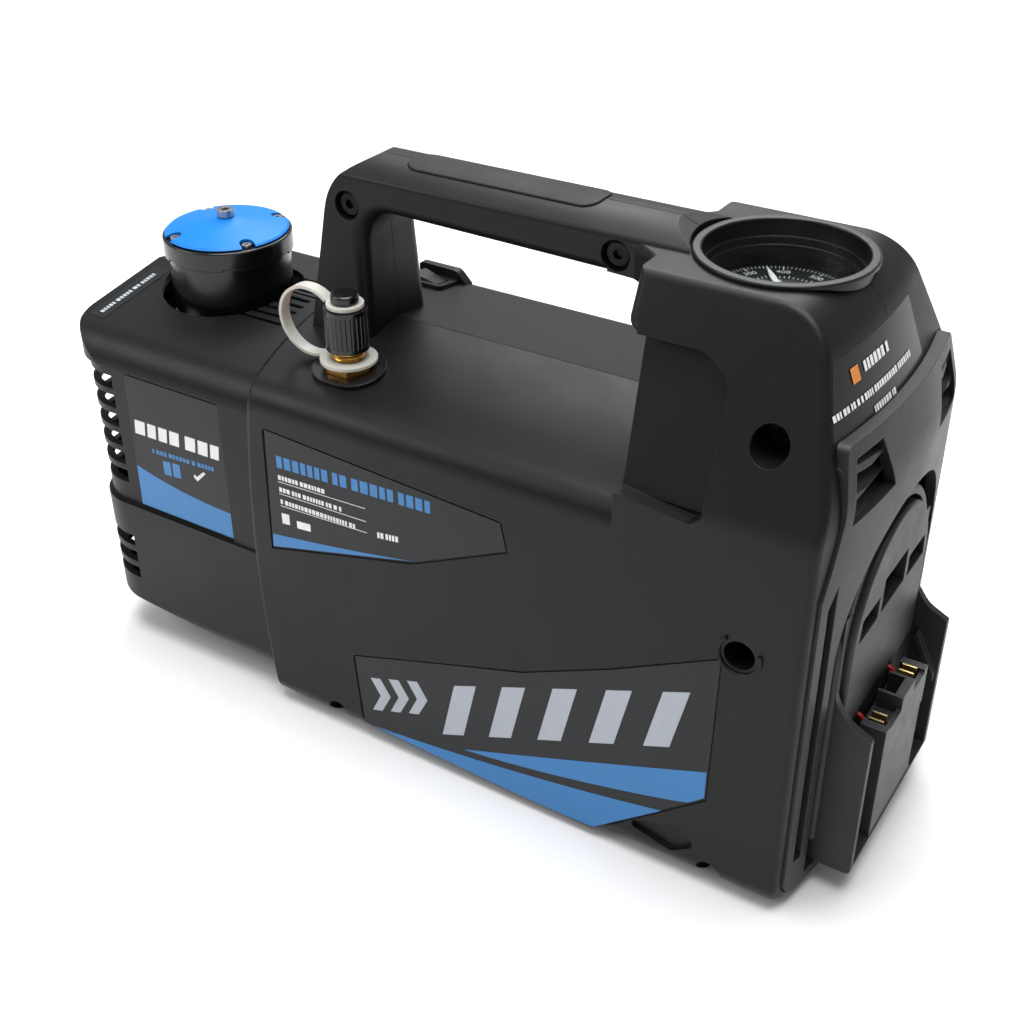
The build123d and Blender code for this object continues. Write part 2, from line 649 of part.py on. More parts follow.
def contact_clip(y):
    """Folded spring clip that grips one blade of a battery pack."""
    clip = block((156.4, 161.6), (y - 2.2, y + 2.2), (46.6, 60.4))
    return clip - block((156.0, 162), (y - 1.4, y + 1.4), (48.0, 62))


LEAD_Z = 58.4


def make_power_leads():
    """Two insulated wires from the terminals, through the mount, to a plug behind it."""
    routes = [[(154.2, y, 52.0), (154.2, y, LEAD_Z), (136.9, y, LEAD_Z)] for y in (-14.8, 14.8)]
    node("power_leads", *[wire(route, 0.9, 2.4) for route in routes])
    plug = block((130.2, 136.9), (-19, 19), (LEAD_Z - 4, LEAD_Z + 4))
    node("lead_plug", plug - block((129, 132), (-17.5, 17.5), (LEAD_Z - 2.8, LEAD_Z + 2.8)))


def wire(route, r, bend):
    """Tube along straight runs joined by tangent arcs."""
    path = FilletPolyline(*route, radius=bend)
    start = Plane(origin=path @ 0, z_dir=path % 0)
    return sweep(start * Circle(r), path)


# ---- drive train inside ----
MOTOR_X = (22.0, 92.0)
CAN_R = 37.0
PUMP_X = (-62.0, -12.0)


def make_motor():
    x0, x1 = MOTOR_X
    can = rod_x(x0, x1, 0, SHAFT_Z, CAN_R, CAN_R - 2.2)
    node("motor_can", can)
    magnets = []
    for i in range(4):
        ring = rod_x(x0 + 14, x1 - 14, 0, SHAFT_Z, CAN_R - 2.4, CAN_R - 8)
        sector = along_x(outline([(0, 0), (46, -28), (46, 28)]), x0, x1)
        magnets.append(ring & (Pos(0, 0, SHAFT_Z) * Rot(90 * i, 0, 0) * sector))
    node("motor_magnets", *magnets)
    caps = []
    for a, b, nose in ((x0 - 6, x0 - 0.1, -7), (x1 + 0.1, x1 + 6, 7)):
        cap = rod_x(a, b, 0, SHAFT_Z, CAN_R)
        far = b + nose if nose > 0 else a + nose
        cap += rod_x(*sorted((far, a if nose < 0 else b)), 0, SHAFT_Z, 14)
        cap -= rod_x(*sorted((far - 1, far + 1 + 30)) if nose < 0 else (b - 30, far + 1),
                     0, SHAFT_Z, 11.05)
        cap -= vent_ring(a, b, 19, 31)
        caps.append(cap)
    node("motor_end_caps", *caps)
    bearings = [rod_x(a, a + 7, 0, SHAFT_Z, 11.0, SHAFT_R + 0.05)
                for a in (x0 - 12.6, x1 + 5.6)]
    node("motor_bearings", *bearings)
    rotor = rod_x(1.0, x1 + 26, 0, SHAFT_Z, SHAFT_R) + rod_x(x0 + 16, x1 - 16, 0, SHAFT_Z, 28.0)
    for i in range(12):
        a = radians(30 * i)
        rotor -= rod_x(x0 + 10, x1 - 10, 25.5 * cos(a), SHAFT_Z + 25.5 * sin(a), 2.2)
    rotor += rod_x(x1 - 14, x1 - 5, 0, SHAFT_Z, 11.0)
    node("motor_rotor", rotor)


def vent_ring(x0, x1, r_in, r_out):
    """Ring of six kidney-like openings, as drilled rows of round holes."""
    r = (r_out - r_in) / 2
    holes = [rod_x(x0 - 1, x1 + 1, (r_in + r) * cos(radians(60 * i)),
                   SHAFT_Z + (r_in + r) * sin(radians(60 * i)), r) for i in range(6)]
    return joined(holes)


def make_fan():
    x = MOTOR_X[1] + 14.4
    hub = rod_x(x, x + 9, 0, SHAFT_Z, 12.0, SHAFT_R)
    blades = []
    for i in range(9):
        part = Rot(40 * i, 0, 0) * Pos(0, 21.5, 0) * Rot(0, 32, 0) * Box(1.6, 21, 9.5)
        blades.append(Pos(x + 4.5, 0, SHAFT_Z) * part)
    node("cooling_fan", joined([hub] + blades))


def make_coupling():
    coupling = rod_x(-5.5, 8.4, 0, SHAFT_Z, 12.0) - rod_x(-9, 10, 0, SHAFT_Z, SHAFT_R)
    coupling -= block((-1.0, 0.2), (-13, 13), (SHAFT_Z - 13, SHAFT_Z - 2))
    node("shaft_coupling", coupling)


def make_pump():
    x0, x1 = PUMP_X
    cylinder = rod_x(x0, x1, 0, SHAFT_Z, 34.0)
    cylinder += block((x0, x1), (-34, 34), (SHAFT_Z - 40, SHAFT_Z - 10))
    cylinder += rod_z_port(x1 - 12)
    cylinder -= rod_x(x0 + 20, x1 + 1, 0, SHAFT_Z + 3.0, 25.0)
    cylinder -= rod_x(x0 - 1, x0 + 16, 0, SHAFT_Z + 3.0, 25.0)
    cylinder -= rod_x(x0 - 2, x1 + 2, 0, SHAFT_Z, SHAFT_R + 0.05)
    node("pump_cylinder", cylinder)
    stage_one = rod_x(x0 + 20.3, x1 - 0.3, 0, SHAFT_Z, 21.6, SHAFT_R)
    stage_two = rod_x(x0 + 0.3, x0 + 15.7, 0, SHAFT_Z, 21.6, SHAFT_R)
    slot = block((x0 - 1, x1 + 1), (7, 30), (SHAFT_Z - 1.6, SHAFT_Z + 1.6))
    slot += block((x0 - 1, x1 + 1), (-30, -7), (SHAFT_Z - 1.6, SHAFT_Z + 1.6))
    node("pump_rotors", stage_one - slot, stage_two - slot)
    vanes = [block(x, y, (SHAFT_Z - 1.5, SHAFT_Z + 1.5)) for x in
             ((x0 + 20.4, x1 - 0.4), (x0 + 0.4, x0 + 15.6)) for y in ((7.2, 21.4), (-21.4, -7.2))]
    node("rotor_vanes", *vanes)
    node("pump_shaft", rod_x(x0 - 3.5, 0.9, 0, SHAFT_Z, SHAFT_R))
    make_pump_covers(x0, x1)


def rod_z_port(x):
    """Boss for the intake tube on top of the cylinder."""
    return disc(x, -18, SHAFT_Z + 20, SHAFT_Z + 40, 9.0)


def make_pump_covers(x0, x1):
    front = rod_x(x1 + 0.1, x1 + 6, 0, SHAFT_Z, 34.0) - rod_x(x1 - 1, x1 + 8, 0, SHAFT_Z, 8.0)
    bracket = front + block((x1 + 0.1, x1 + 6), (-48, 48), (15.1, SHAFT_Z - 20))
    bracket += block((x1 + 0.1, x1 + 20), (-48, 48), (15.1, 20))
    bracket -= rod_x(x1 - 1, x1 + 8, 0, SHAFT_Z, 8.0)
    for y in (-42, 42):
        bracket -= disc(x1 + 13, y, 10, 25, 2.6)
    node("pump_bracket", bracket)
    cover = rod_x(x0 - 6, x0 - 0.1, 0, SHAFT_Z, 34.0) - rod_x(x0 - 4, x0 + 1, 0, SHAFT_Z, SHAFT_R + 0.5)
    bolts = [(29.0 * cos(radians(60 * i + 30)), SHAFT_Z + 29.0 * sin(radians(60 * i + 30)))
             for i in range(6)]
    for y, z in bolts:
        cover -= rod_x(x0 - 7, x0 + 1, y, z, 2.2)
    node("pump_end_cover", cover)
    heads = []
    for y, z in bolts:
        heads.append(rod_x(x0 - 10, x0 - 6.05, y, z, 3.6) + rod_x(x0 - 7, x0 - 0.2, y, z, 2.0))
    node("pump_cover_bolts", *heads)
    feet = [disc(x1 + 13, y, 20.05, 23.5, 4.2) + disc(x1 + 13, y, 15.1, 20.5, 2.4) for y in (-42, 42)]
    node("bracket_bolts", *feet)


def make_oil_case():
    x0, x1 = -152.0, -75.0
    outer = along_z(plan(x0, x1, 44, 10), 24, 126)
    inner = along_z(plan(x0 + 3, x1 - 3, 41, 8), 27, 123)
    case = outer - inner
    neck = disc(CAP_X, 0, 122, 146, 19.3) - disc(CAP_X, 0, 110, 150, 16.0)
    flange = disc(CAP_X, 0, 126, 136.4, 23.6) - disc(CAP_X, 0, 110, 150, 16.0)
    case = (case - disc(CAP_X, 0, 110, 150, 16.0)) + neck + flange
    case += rod_x(x0 - 6, x0 + 3, 0, 56, 14.6) + rod_x(x0 - 6, x0 + 3, 0, 32, 9.0)
    case -= rod_x(x0 - 8, x0 + 4, 0, 56, 10.2) + rod_x(x0 - 8, x0 + 4, 0, 32, 5.06)
    case -= rod_x(x1 - 10, x1 + 2, 0, SHAFT_Z, 36.0)
    node("oil_case", case)
    node("sight_glass", rod_x(x0 - 7.4, x0 + 1, 0, 56, 10.0))
    ring = rod_x(x0 - 9.2, x0 - 6.1, 0, 56, 11.9, 8.2) - rod_x(x0 - 7.6, x0 - 6, 0, 56, 10.1)
    node("sight_glass_ring", ring)
    flange = along_x(Pos(0, SHAFT_Z) * RectangleRounded(84, 88, 12), x1 + 0.1, x1 + 5)
    node("oil_case_cover", flange - rod_x(x1 - 1, x1 + 8, 0, SHAFT_Z, 34.3))
    node("drain_plug", drain_plug(x0))
    node("drain_seal", rod_x(x0 - 7.6, x0 - 6.1, 0, 32, 8.0, 5.2))


def drain_plug(x0):
    plug = rod_x(x0 - 7.8, x0 + 3, 0, 32, 5.0)
    head = along_x(Pos(0, 32) * hexagon(14), x0 - 12.4, x0 - 7.7)
    return plug + head - along_x(Pos(0, 32) * hexagon(6), x0 - 14, x0 - 10)


def make_intake_tube():
    """Copper tube from the inlet fitting down to the first stage."""
    x, y = INLET
    route = [(x, y, 127.9), (x, y, 119.0), (-24.0, -18.0, 119.0), (-24.0, -18.0, 112.1)]
    node("intake_tube", wire(route, 4.0, 6.0))


def make_control_board():
    node("control_board", block((44, 104), (-34, 34), (116.0, 117.8)))
    parts = [disc(x, y, 117.9, 133, 6.3) for x, y in ((54, -20), (54, -4), (54, 12))]
    sink = block((68, 98), (-24, 24), (117.9, 121))
    for i in range(7):
        sink += block((68, 98), (-24 + 7.6 * i, -22 + 7.6 * i), (120.5, 130))
    node("board_capacitors", *parts)
    node("board_heat_sink", sink)
    posts = [disc(x, y, 109.4, 115.9, 3.0) for x in (50, 98) for y in (-30, 30)]
    clamp = rod_x(44, 104, 0, SHAFT_Z, CAN_R + 2.6, CAN_R + 0.15)
    clamp &= block((48, 100), (-50, 50), (SHAFT_Z + 5, 120))
    shelf = block((46, 102), (-33, 33), (109.2, 111.4))
    cradle = clamp + shelf - rod_x(40, 110, 0, SHAFT_Z, CAN_R + 0.15)
    node("board_cradle", cradle + joined(posts))
    saddle = block((30, 96), (-34, 34), (15.1, 50)) - rod_x(20, 110, 0, SHAFT_Z, CAN_R + 0.15)
    saddle -= block((36, 90), (-22, 22), (10, 60))
    node("motor_saddle", saddle)


# ---- fasteners and feet ----
def shell_screw(x, z, head_y, head_r, reach):
    screw = rod_y(x, z, head_y - 2.6, head_y - 0.05, head_r) + rod_y(x, z, head_y - 0.1, reach, 1.9)
    return screw - along_y(Pos(x, z) * hexagon(3.2), head_y - 4, head_y - 1.2)


def make_screws():
    screws = [shell_screw(x, z, head_y, 3.9, 24) for x, z, _, head_y in SHELL_SCREWS]
    seat = 4 - HANDLE_HALF
    screws += [shell_screw(x, z, seat, 3.9, 11) for x, z in HANDLE_SCREWS]
    node("shell_screws", *screws)
    nuts = [along_y(Pos(x, z) * hexagon(7.0), HANDLE_HALF - 3.9, HANDLE_HALF - 0.8)
            - rod_y(x, z, 0, 20, 2.0) for x, z in HANDLE_SCREWS]
    node("handle_nuts", *nuts)


def make_feet():
    feet = []
    for x in (-52, 112):
        for y in (-42, 42):
            foot = disc(x, y, 0, FOOT_H - 0.05, 9.0)
            low = [e for e in foot.edges() if e.center().Z < 0.1]
            feet.append(rounded(foot, low, 1.0))
    node("rubber_feet", *feet)


def build_all():
    make_main_shell()
    make_grip_pad()
    make_rear_housing()
    make_exhaust_cap()
    make_inlet()
    make_switch()
    make_gauge()
    make_front_frame()
    make_battery_mount()
    make_slide_plate()
    make_terminal_block()
    make_power_leads()
    make_motor()
    make_fan()
    make_coupling()
    make_pump()
    make_oil_case()
    make_intake_tube()
    make_control_board()
    make_screws()
    make_feet()


build_all()
for name, solids in NODES.items():
    piece = solids[0] if len(solids) == 1 else Compound(children=solids)
    export_step(piece, f"parts/{name}.step")
    print(f"{name:22s} solids {len(solids)}")
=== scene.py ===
import random
from math import cos, pi, radians, sin, sqrt

import bmesh
import bpy
from mathutils import Matrix, Vector


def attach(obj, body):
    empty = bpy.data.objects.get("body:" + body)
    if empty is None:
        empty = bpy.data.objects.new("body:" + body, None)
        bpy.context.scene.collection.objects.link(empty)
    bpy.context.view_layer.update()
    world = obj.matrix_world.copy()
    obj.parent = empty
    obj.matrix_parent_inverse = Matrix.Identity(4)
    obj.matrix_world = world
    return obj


# Looks of a cordless vacuum pump: moulded black shells, blue cap lid, brass port,
# printed labels and a black dial. Lengths in the piece data are millimetres.

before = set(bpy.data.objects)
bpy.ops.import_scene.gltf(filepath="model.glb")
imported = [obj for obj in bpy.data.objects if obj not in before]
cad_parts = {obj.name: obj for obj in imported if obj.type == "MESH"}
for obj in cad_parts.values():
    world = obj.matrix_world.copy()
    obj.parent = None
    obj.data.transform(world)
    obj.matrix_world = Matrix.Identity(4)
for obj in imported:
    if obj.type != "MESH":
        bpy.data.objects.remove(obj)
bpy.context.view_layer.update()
MM = 0.001
random.seed(7)


# ---- materials ----
def paint(code):
    """sRGB hex colour as linear RGBA."""
    parts = [int(code[i:i + 2], 16) / 255 for i in (1, 3, 5)]
    return tuple(c / 12.92 if c <= 0.04045 else ((c + 0.055) / 1.055) ** 2.4 for c in parts) + (1.0,)


def add(material, kind, inputs=None, **settings):
    """Adds one node with its settings; inputs hold values or sockets to link from."""
    node = material.node_tree.nodes.new("ShaderNode" + kind)
    for name, value in settings.items():
        setattr(node, name, value)
    for name, value in (inputs or {}).items():
        if isinstance(value, bpy.types.NodeSocket):
            material.node_tree.links.new(value, node.inputs[name])
        else:
            node.inputs[name].default_value = value
    return node


def blank(name):
    material = bpy.data.materials.new(name)
    material.use_nodes = True
    material.node_tree.nodes.clear()
    return material


def close(material, shader):
    add(material, "OutputMaterial", {"Surface": shader})
    return material


def moulded(name, colour, rubbed_and_highlit, rough, grain, relief, edge=0.4, wear_and_highlight=0.5, cloud=30.0,
            shine=0.5, **gloss):
    """Moulded plastic, rubber, enamel or print: even colour with faint clouding, a fine grain in the
    surface, and softened edges that are painted lighter, partly as worn plastic and partly as a painted
    highlight."""
    m = blank(name)
    place = add(m, "TexCoord").outputs["Object"]
    fine = add(m, "TexNoise", {"Vector": place, "Scale": 1 / (grain * MM), "Detail": 2.0,
                               "Roughness": 0.6}).outputs["Fac"]
    broad = add(m, "TexNoise", {"Vector": place, "Scale": 1 / (cloud * MM), "Detail": 5.0,
                                "Roughness": 0.6}).outputs["Fac"]
    soft = add(m, "Bevel", {"Radius": edge * MM}, samples=4).outputs["Normal"]
    true = add(m, "NewGeometry").outputs["Normal"]
    along = add(m, "VectorMath", {0: soft, 1: true}, operation="DOT_PRODUCT").outputs["Value"]
    # Edge mask: edges get a lighter colour, partly worn plastic and partly a painted highlight where light
    # catches them.
    edge_wear_and_highlight_mask = add(m, "MapRange", {"Value": along, "From Min": 0.985, "From Max": 0.80, "To Min": 0.0,
                               "To Max": wear_and_highlight}).outputs["Result"]
    patchy_wear_and_highlight = add(m, "Math", {0: edge_wear_and_highlight_mask, 1: broad}, operation="MULTIPLY").outputs["Value"]
    dark = tuple(c * 0.82 for c in paint(colour)[:3]) + (1.0,)
    body = add(m, "Mix", {0: broad, 6: dark, 7: paint(colour)}, data_type="RGBA").outputs[2]
    # Painted highlight and worn edges: the lighter colour is mixed in along the edge mask.
    tone = add(m, "Mix", {0: patchy_wear_and_highlight, 6: body, 7: paint(rubbed_and_highlit)}, data_type="RGBA").outputs[2]
    mixed = add(m, "Math", {0: fine, 1: broad}, operation="MULTIPLY").outputs["Value"]
    sheen = add(m, "MapRange", {"Value": mixed, "From Min": 0.12, "From Max": 0.4,
                                "To Min": rough * 0.84, "To Max": min(rough * 1.14, 1.0)}).outputs["Result"]
    bump = add(m, "Bump", {"Height": fine, "Strength": 0.6, "Distance": relief * MM, "Normal": soft})
    shader = add(m, "BsdfPrincipled", {"Base Color": tone, "Roughness": sheen, "IOR": 1.5,
                                       "Specular IOR Level": shine, "Normal": bump.outputs["Normal"],
                                       **gloss})
    return close(m, shader.outputs["BSDF"])


def machined(name, colour, dull, rough, stretch, mark=0.25, edge=0.25, relief=0.02):
    """Bare metal: cutting or drawing marks along one direction, with a slightly duller film."""
    m = blank(name)
    place = add(m, "TexCoord").outputs["Object"]
    drawn = add(m, "Mapping", {"Vector": place, "Scale": stretch}, vector_type="POINT").outputs["Vector"]
    marks = add(m, "TexNoise", {"Vector": drawn, "Scale": 1 / (mark * MM), "Detail": 3.0}).outputs["Fac"]
    film = add(m, "TexNoise", {"Vector": place, "Scale": 110.0, "Detail": 4.0}).outputs["Fac"]
    tone = add(m, "Mix", {0: film, 6: paint(dull), 7: paint(colour)}, data_type="RGBA").outputs[2]
    sheen = add(m, "MapRange", {"Value": marks, "From Min": 0.3, "From Max": 0.7,
                                "To Min": rough * 0.75, "To Max": rough * 1.3}).outputs["Result"]
    soft = add(m, "Bevel", {"Radius": edge * MM}, samples=4).outputs["Normal"]
    bump = add(m, "Bump", {"Height": marks, "Strength": 0.5, "Distance": relief * MM, "Normal": soft})
    shader = add(m, "BsdfPrincipled", {"Base Color": tone, "Metallic": 1.0, "Roughness": sheen,
                                       "Normal": bump.outputs["Normal"]})
    return close(m, shader.outputs["BSDF"])


def clear(name, tint, rough=0.03):
    """Clear window: lets light straight through and mirrors more at a glancing angle."""
    m = blank(name)
    place = add(m, "TexCoord").outputs["Object"]
    smear = add(m, "TexNoise", {"Vector": place, "Scale": 140.0, "Detail": 4.0}).outputs["Fac"]
    haze = add(m, "MapRange", {"Value": smear, "To Min": rough * 0.5,
                               "To Max": rough * 2.5}).outputs["Result"]
    facing = add(m, "LayerWeight", {"Blend": 0.5}).outputs["Facing"]
    rim = add(m, "Math", {0: facing, 1: 5.0}, operation="POWER").outputs["Value"]
    edge = add(m, "MapRange", {"Value": rim, "To Min": 0.04, "To Max": 0.7}).outputs["Result"]
    through = add(m, "BsdfTransparent", {"Color": paint(tint)}).outputs["BSDF"]
    mirror = add(m, "BsdfGlossy", {"Roughness": haze}).outputs["BSDF"]
    return close(m, add(m, "MixShader", {0: edge, 1: through, 2: mirror}).outputs["Shader"])


ROUND_Z = (1.0, 1.0, 12.0)       # turned about an upright axis: marks run round it
ALONG_X = (0.08, 1.0, 1.0)
EVEN = (1.0, 1.0, 1.0)

# The second colour of each moulded finish is painted along its edges: partly worn plastic, partly a painted
# highlight.
# ABS with a spark-eroded texture: matt, with a soft grey sheen where light grazes it
shell_abs = moulded("textured_abs_shell", "#0c0d0e", "#2c2d2f", 0.44, 0.55, 0.035, shine=0.24)
housing_abs = moulded("textured_abs_housing", "#0c0d0e", "#303133", 0.44, 0.55, 0.035, shine=0.24)
frame_abs = moulded("textured_abs_front_frame", "#17181a", "#4a4c50", 0.46, 0.5, 0.03, wear_and_highlight=0.8, shine=0.35)
# glass-filled nylon: greyer and duller, scuffed where a battery slides; its edges painted lighter, partly
# worn and partly a painted highlight
mount_nylon = moulded("glass_filled_nylon_mount", "#1e1f22", "#6a6c70", 0.5, 0.4, 0.03, wear_and_highlight=0.9,
                      cloud=12.0, shine=0.35)
terminal_nylon = moulded("worn_nylon_terminals", "#232427", "#8a8c8f", 0.48, 0.35, 0.04, wear_and_highlight=1.0,
                         cloud=8.0)
# thermoplastic rubber over the handle: dry and a little lighter
grip_rubber = moulded("soft_touch_grip", "#101113", "#2b2c2e", 0.62, 0.45, 0.05, edge=0.3, shine=0.3)
seal_rubber = moulded("nitrile_rubber", "#101011", "#2a2a2b", 0.5, 0.5, 0.02)
grommet_rubber = moulded("satin_rubber_grommet", "#0f1011", "#3a3b3c", 0.3, 0.5, 0.01, edge=0.5)
foot_rubber = moulded("rubber_foot", "#131314", "#2d2d2e", 0.7, 0.6, 0.04)
# polished nylon moulding of the exhaust cap, with its blue satin lid
cap_nylon = moulded("polished_nylon_cap", "#0b0b0c", "#3a3a3b", 0.22, 0.7, 0.006, edge=0.5, wear_and_highlight=0.4)
cap_blue = moulded("satin_blue_lid", "#0074cc", "#2a94dc", 0.42, 0.45, 0.012, edge=0.3, wear_and_highlight=0.3,
                   shine=0.25)
# glossy nylon of small parts that fingers polish
knob_nylon = moulded("glossy_nylon_port_cap", "#0a0a0b", "#48484a", 0.2, 0.6, 0.006, edge=0.3)
rocker_nylon = moulded("glossy_rocker", "#0c0c0d", "#3a3a3b", 0.22, 0.6, 0.006)
# satin moulding of the gauge bezel: no grain, so its steps show as soft lines
bezel_satin = moulded("satin_black_bezel", "#101112", "#2a2b2c", 0.36, 0.8, 0.008, edge=0.4, wear_and_highlight=0.3,
                      shine=0.35)
# silicone strap: milky, lets some light into itself
silicone = moulded("milky_silicone", "#dcdcd3", "#efefea", 0.36, 0.6, 0.01, edge=0.4, wear_and_highlight=0.3,
                   **{"Subsurface Weight": 0.4, "Subsurface Scale": 0.003, "Transmission Weight": 0.35})
gauge_enamel = moulded("black_gauge_enamel", "#0c0c0d", "#333334", 0.32, 0.5, 0.008)
dial_print = moulded("matt_dial_print", "#101113", "#202122", 0.5, 0.3, 0.004, wear_and_highlight=0.0)
white_print = moulded("white_print", "#e6e7e6", "#ffffff", 0.5, 0.3, 0.004, wear_and_highlight=0.0)
needle_paint = moulded("white_needle_enamel", "#eceded", "#ffffff", 0.3, 0.4, 0.004, wear_and_highlight=0.2)
# printed polyester film: satin, with the faint orange peel of its adhesive
film_grey = moulded("grey_label_film", "#151618", "#242527", 0.38, 0.8, 0.01, edge=0.1, wear_and_highlight=0.3, shine=0.3)
film_black = moulded("black_label_film", "#0c0c0d", "#3a3b3d", 0.2, 0.9, 0.008, edge=0.1, wear_and_highlight=0.3)
film_blue = moulded("blue_label_print", "#2574b2", "#3f88c4", 0.36, 0.8, 0.006, edge=0.05, wear_and_highlight=0.2)
film_silver = moulded("silver_label_print", "#a9aeb6", "#c2c6cc", 0.38, 0.25, 0.006, edge=0.05, cloud=3.0)
film_amber = moulded("amber_label_print", "#d9822a", "#e89a48", 0.36, 0.8, 0.006, edge=0.05)
stainless = machined("stainless_screw", "#b9babc", "#8c8d8f", 0.3, ROUND_Z)
black_oxide = machined("black_oxide_screw", "#2c2c2e", "#141415", 0.34, EVEN)
brass = machined("turned_brass", "#d8a856", "#a87832", 0.24, ROUND_Z)
brass_drain = machined("turned_brass_fittings", "#cfa050", "#9a6f30", 0.28, (12.0, 1.0, 1.0))
contact_gold = machined("gold_flashed_contact", "#e3cf9a", "#b59a5c", 0.3, (1.0, 1.0, 6.0))
cast_alloy = machined("cast_aluminium", "#b4b6b8", "#8b8d8f", 0.5, EVEN, mark=0.8, relief=0.06)
plated = machined("zinc_plated_steel", "#c3c4c0", "#9a9b96", 0.3, EVEN)
ground_steel = machined("ground_steel", "#a9abad", "#7f8183", 0.26, ALONG_X)
iron = machined("machined_iron", "#6f7072", "#4b4c4e", 0.42, ALONG_X, mark=0.5)
copper = machined("drawn_copper", "#c77a52", "#8f5236", 0.3, ROUND_Z)
motor_plate = moulded("black_plated_can", "#2b2c2e", "#6a6b6d", 0.34, 0.4, 0.01)
ferrite = moulded("sintered_ferrite", "#2a2a2a", "#454545", 0.7, 0.3, 0.03)
black_nylon = moulded("plain_black_nylon", "#1d1d1e", "#3c3c3d", 0.5, 0.6, 0.02)
vane_fibre = moulded("resin_fibre_vane", "#4a3526", "#6a5038", 0.6, 0.3, 0.03)
board_mask = moulded("green_solder_mask", "#14502e", "#2c7a4c", 0.3, 0.5, 0.006)
can_sleeve = moulded("capacitor_sleeve", "#1a1c33", "#3a3d5c", 0.26, 0.6, 0.006)
felt = moulded("felted_fibre", "#a7a294", "#c4c0b3", 0.9, 0.35, 0.12, wear_and_highlight=0.1)
red_pvc = moulded("red_pvc_insulation", "#a31414", "#c23a34", 0.36, 0.5, 0.006)
glass = clear("gauge_window", "#f6f8f8")
sight = clear("oil_sight_window", "#f3eccb", 0.05)

FINISHES = {
    shell_abs: "main_shell_right main_shell_left", grip_rubber: "grip_pad",
    housing_abs: "rear_housing switch_housing", cap_nylon: "exhaust_cap_body",
    cap_blue: "exhaust_cap_lid", stainless: "exhaust_cap_screws", felt: "exhaust_cap_filter",
    seal_rubber: "exhaust_cap_seal inlet_cap_seal drain_seal", brass: "inlet_fitting",
    grommet_rubber: "inlet_grommet", knob_nylon: "inlet_cap", silicone: "cap_tether_ring cap_tether",
    rocker_nylon: "switch_rocker", bezel_satin: "gauge_bezel", gauge_enamel: "gauge_case",
    brass_drain: "gauge_movement sight_glass_ring drain_plug", dial_print: "gauge_dial",
    glass: "gauge_lens", needle_paint: "gauge_needle", frame_abs: "front_frame",
    mount_nylon: "battery_mount battery_slide_plate", terminal_nylon: "terminal_block",
    contact_gold: "battery_contacts", red_pvc: "power_leads", motor_plate: "motor_can",
    ferrite: "motor_magnets", cast_alloy: "motor_end_caps shaft_coupling pump_bracket "
    "pump_end_cover oil_case oil_case_cover board_heat_sink",
    ground_steel: "motor_bearings motor_rotor pump_rotors pump_shaft", iron: "pump_cylinder",
    black_nylon: "cooling_fan board_cradle motor_saddle lead_plug", vane_fibre: "rotor_vanes",
    plated: "pump_cover_bolts bracket_bolts handle_nuts", sight: "sight_glass",
    copper: "intake_tube", board_mask: "control_board", can_sleeve: "board_capacitors",
    black_oxide: "shell_screws", foot_rubber: "rubber_feet"}

for finish, names in FINISHES.items():
    for node_name in names.split():
        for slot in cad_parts[node_name].material_slots:
            slot.material = finish


# ---- building pieces ----
def piece(name, bm, material, body, smooth=False):
    """Turns a bmesh into an object that rides on a body."""
    bmesh.ops.recalc_face_normals(bm, faces=bm.faces)
    mesh = bpy.data.meshes.new(name)
    bm.to_mesh(mesh)
    bm.free()
    mesh.materials.append(material)
    if smooth:
        mesh.shade_smooth()
        mesh.set_sharp_from_angle(angle=radians(38))
    obj = bpy.data.objects.new(name, mesh)
    bpy.context.collection.objects.link(obj)
    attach(obj, body)
    return obj


def slab(bm, points, place, height, thick):
    """Thin plate over an outline; place(u, v, height) gives a point on the surface."""
    face = bm.faces.new([bm.verts.new(place(u, v, height)) for u, v in points])
    grown = bmesh.ops.extrude_face_region(bm, geom=[face], use_keep_orig=True)["geom"]
    top = [g for g in grown if isinstance(g, bmesh.types.BMVert)]
    u, v = points[0]
    bmesh.ops.translate(bm, verts=top, vec=place(u, v, height + thick) - place(u, v, height))


def side_wall(side, depth):
    """Surface of an upright side wall, side -1 or 1, drawn in x and z."""
    return lambda u, v, height: Vector((u, side * (depth + height), v)) * MM


def housing_roof(u, v, height):
    """The rear housing's roof, which falls away to both sides."""
    return Vector((u, v, 147.8 - 0.1614 * abs(v) + height)) * MM


TOWER_AXIS_X = -96.3
TOWER_R = 250.0


def tower_front(u, v, height):
    """The bulging, leaning front of the gauge tower, drawn in y and z."""
    r = TOWER_R - (v - 155.0) * 0.3931 + height
    return Vector((TOWER_AXIS_X + sqrt(r * r - u * u), u, v)) * MM


def sweep_curve(points, steps=8):
    """Rounds off a drawn line that is given by end, middle and end points."""
    (x0, y0), (x1, y1), (x2, y2) = points
    out = []
    for i in range(steps + 1):
        t = i / steps
        a, b, c = (1 - t) ** 2, 2 * t * (1 - t), t * t
        out.append((a * x0 + b * x1 + c * x2, a * y0 + b * y1 + c * y2))
    return out


def print_row(bm, start, end, height, rise, place, lift, widths=(0.8, 2.2), gap=0.55, thick=0.04):
    """A row of small plain blocks that stands for a line of print."""
    (x0, y0), (x1, y1) = start, end
    length = sqrt((x1 - x0) ** 2 + (y1 - y0) ** 2)
    ux, uy = (x1 - x0) / length, (y1 - y0) / length
    at = 0.0
    while at < length - widths[0]:
        wide = min(random.uniform(*widths), length - at)
        a = (x0 + ux * at, y0 + uy * at)
        b = (x0 + ux * (at + wide), y0 + uy * (at + wide))
        slab(bm, [a, b, (b[0] + rise[0] * height, b[1] + rise[1] * height),
                  (a[0] + rise[0] * height, a[1] + rise[1] * height)], place, lift, thick)
        at += wide + gap * (1 if random.random() < 0.8 else 2.4)


